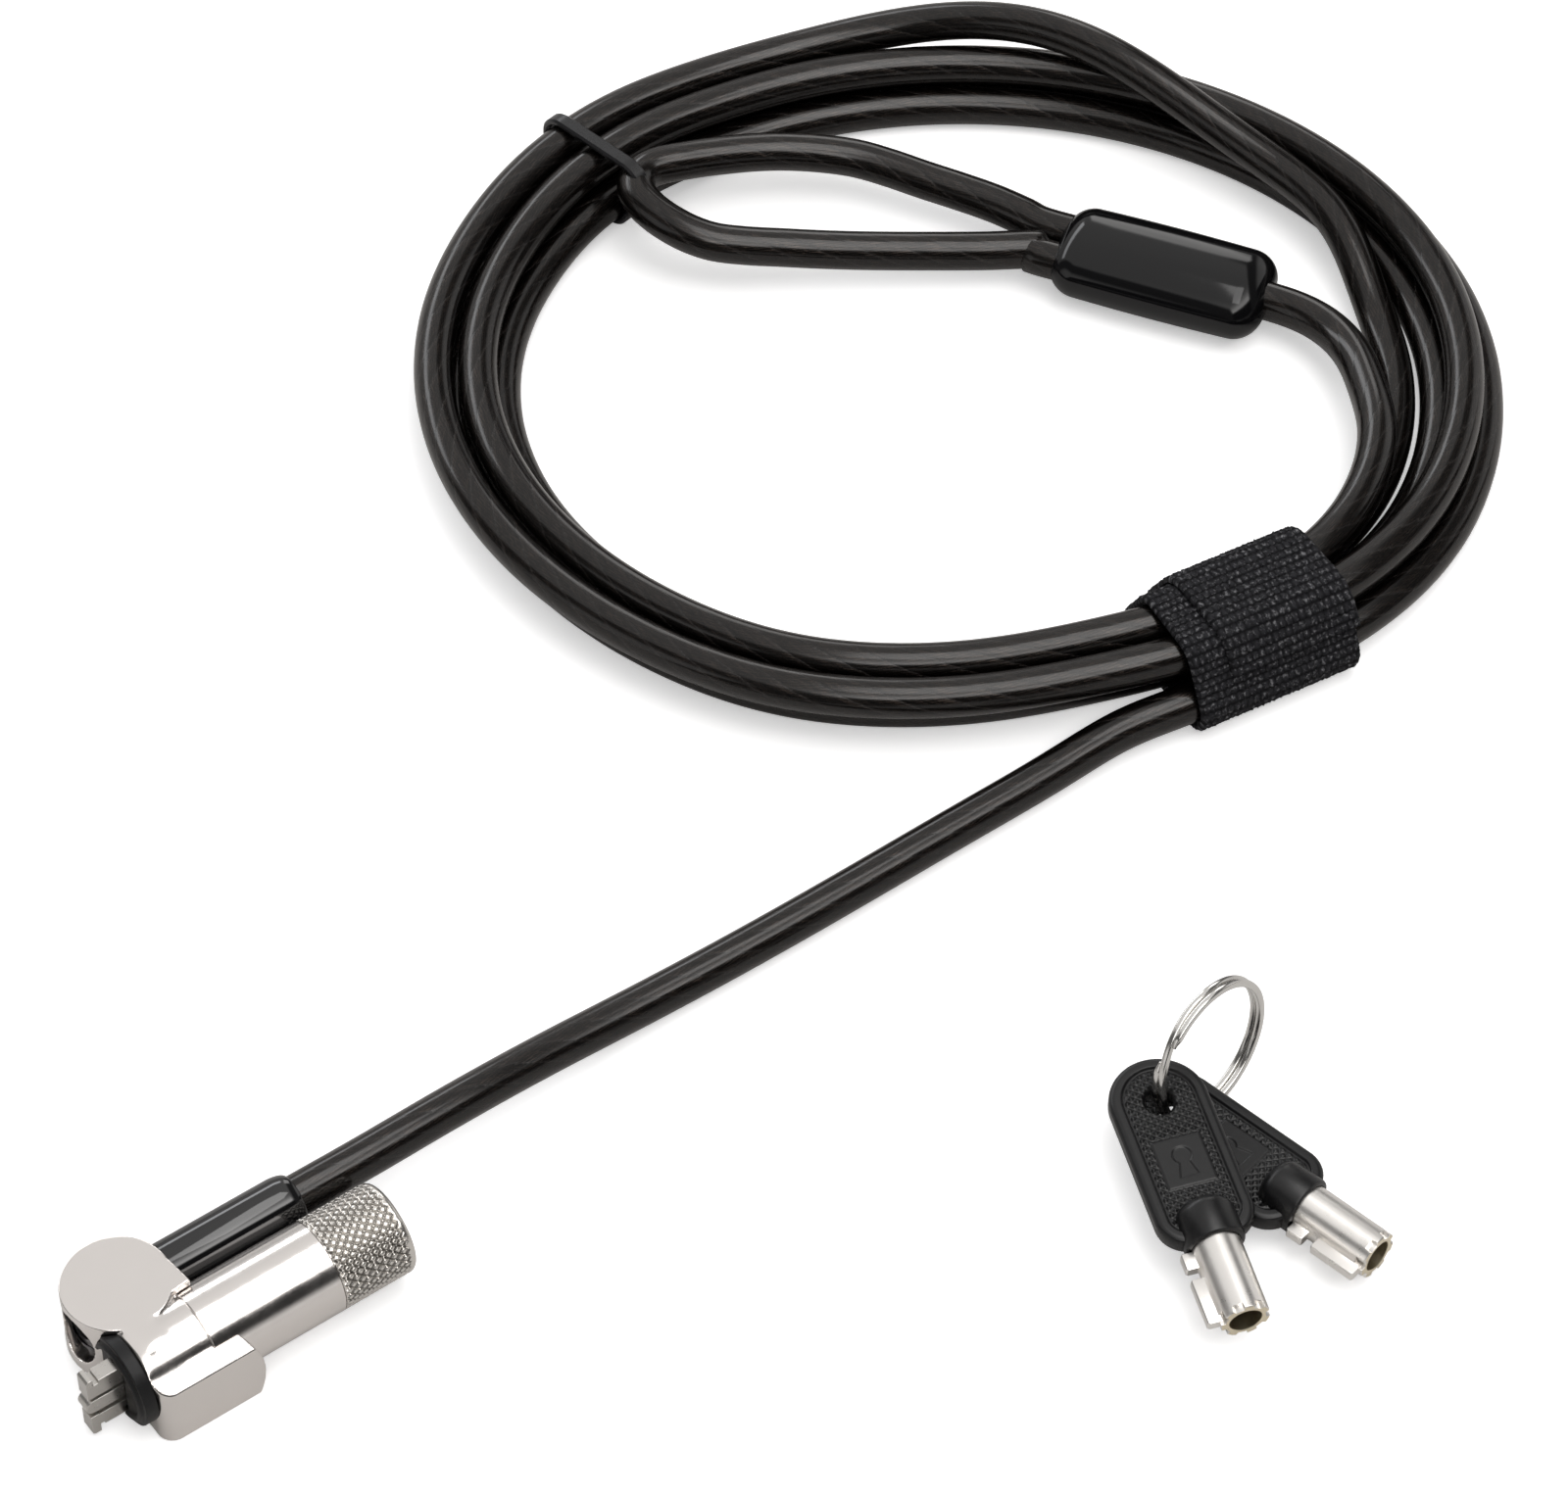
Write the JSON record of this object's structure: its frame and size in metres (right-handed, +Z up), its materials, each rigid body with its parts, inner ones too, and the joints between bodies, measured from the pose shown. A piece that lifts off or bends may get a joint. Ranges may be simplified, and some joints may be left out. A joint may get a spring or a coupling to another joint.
{
  "type": "laptop cable lock",
  "caption": "Laptop cable lock: pivoting lock head with hooks and a tubular keyway, coiled steel cable with a crimped end loop, and tubular keys on a split ring.",
  "frame": {"origin": "middle of the flat foot under the lock barrel, on the surface the lock lies on", "axes": "+X along the lock barrel from the hooks to the keyway, +Y towards the cable's side of the head, +Z up"},
  "size_m": [0.261, 0.2199, 0.0203],
  "materials": {
    "polished_nickel": "polished nickel plate with fine wear",
    "rubber_pad": "matte black rubber",
    "hardened_steel": "machined steel, satin",
    "brass_lock": "turned brass, satin",
    "spring_steel": "dark spring steel",
    "sheathed_cable": "glossy smoked clear sheath over twisted steel strands",
    "black_sleeve": "smooth glossy black plastic",
    "strap_weave": "black hook and loop weave",
    "tie_rubber": "satin black",
    "ring_steel": "polished steel",
    "key_bow_plastic": "matte black moulded plastic with a fine textured panel",
    "key_nickel": "nickel plate with a brass-toned hollow end"
  },
  "bodies": {
    "cable": {"cable_straight": "sheathed_cable", "cable_coil": "sheathed_cable", "cable_tail": "sheathed_cable", "cable_eye": "sheathed_cable", "crimp_sleeve": "black_sleeve", "hook_loop_strap": "strap_weave", "tie_band": "tie_rubber", "ferrule_sleeve": "black_sleeve", "swivel_stud": "hardened_steel"},
    "trunnion": {"trunnion_block": "spring_steel"},
    "head": {"head_casting": "polished_nickel", "front_pad": "rubber_pad", "hook_pins": "hardened_steel", "lock_barrel": "polished_nickel", "knurled_ring": "polished_nickel", "pin_housing": "brass_lock", "driver_pins": "hardened_steel", "pin_springs": "spring_steel", "pivot_pins": "hardened_steel"},
    "core": {"lock_core": "hardened_steel", "drive_cam": "brass_lock", "retaining_clip": "spring_steel", "key_pins": "brass_lock"},
    "blade": {"slide_blade": "hardened_steel"},
    "upper_hook": {"upper_hook": "hardened_steel"},
    "lower_hook": {"lower_hook": "hardened_steel"},
    "split_ring": {"split_ring": "ring_steel"},
    "key_a": {"key_a_bow": "key_bow_plastic", "key_a_tube": "key_nickel"},
    "key_b": {"key_b_bow": "key_bow_plastic", "key_b_tube": "key_nickel"}
  },
  "joints": [
    {"name": "swivel", "type": "hinge", "parent": "cable", "child": "trunnion", "pos_m": [-0.002, 0.01, 0.0078], "axis": [1, 0, 0], "continuous": true},
    {"name": "head_pivot", "type": "hinge", "parent": "trunnion", "child": "head", "pos_m": [-0.002, 0.01, 0.0078], "axis": [0, 0, -1], "range_deg": [0, 90]},
    {"name": "core_turn", "type": "hinge", "parent": "head", "child": "core", "pos_m": [0, 0, 0.007], "axis": [1, 0, 0], "range_deg": [0, 90]},
    {"name": "blade_slide", "type": "slide", "parent": "head", "child": "blade", "axis": [1, 0, 0], "range_m": [0, 0.005]},
    {"name": "upper_hook_swing", "type": "hinge", "parent": "head", "child": "upper_hook", "pos_m": [-0.002, 0, 0.0096], "axis": [0, -1, 0], "range_deg": [0, 4.5]},
    {"name": "lower_hook_swing", "type": "hinge", "parent": "head", "child": "lower_hook", "pos_m": [-0.002, 0, 0.0032], "axis": [0, 1, 0], "range_deg": [0, 4.5]},
    {"name": "ring_lift", "type": "slide", "parent": "cable", "child": "split_ring", "axis": [0, 0, 1], "range_m": [0, 0.1]},
    {"name": "key_a_swing", "type": "hinge", "parent": "split_ring", "child": "key_a", "pos_m": [0.1184, -0.0419, 0.0085], "axis": [-0.0227, -0.066, 0.9976], "range_deg": [-60, 0]},
    {"name": "key_b_swing", "type": "hinge", "parent": "split_ring", "child": "key_b", "pos_m": [0.12102, -0.04188, 0.0043], "axis": [0, 0, 1], "range_deg": [0, 50]}
  ],
  "couplings": [
    {"joint": "blade_slide", "follows": "core_turn", "m_per_rad": 0.0031831},
    {"joint": "upper_hook_swing", "follows": "core_turn", "ratio": 0.05},
    {"joint": "lower_hook_swing", "follows": "core_turn", "ratio": 0.05}
  ]
}
